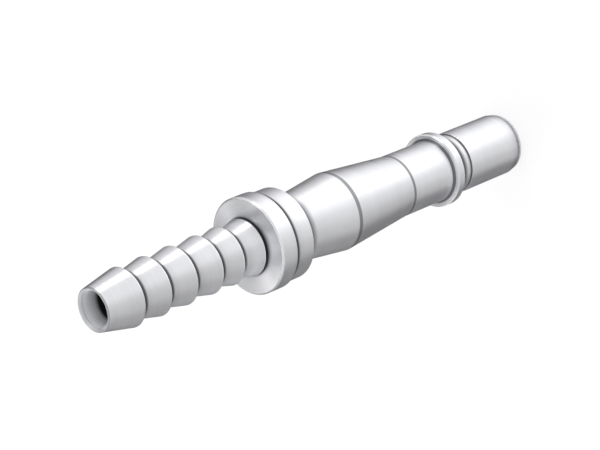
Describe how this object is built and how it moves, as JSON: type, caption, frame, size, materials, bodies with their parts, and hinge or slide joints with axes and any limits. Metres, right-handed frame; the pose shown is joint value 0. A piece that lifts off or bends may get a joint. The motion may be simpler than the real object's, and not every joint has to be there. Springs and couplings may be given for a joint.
{
  "type": "hose barb adapter",
  "caption": "Turned metal adapter: ridged hose tail, stepped collar, swelling body and a plug end with a thin locking flange, bored through.",
  "frame": {"origin": "centre of the plug end's flat face, which the adapter stands on", "axes": "+Z along the turned axis, from the plug end up to the hose tail's tip; X and Y across it"},
  "size_m": [0.015, 0.015, 0.0872],
  "materials": {
    "turned_steel": "bright satin, fine turned"
  },
  "bodies": {
    "root": {"adapter_body": "turned_steel"}
  },
  "joints": []
}
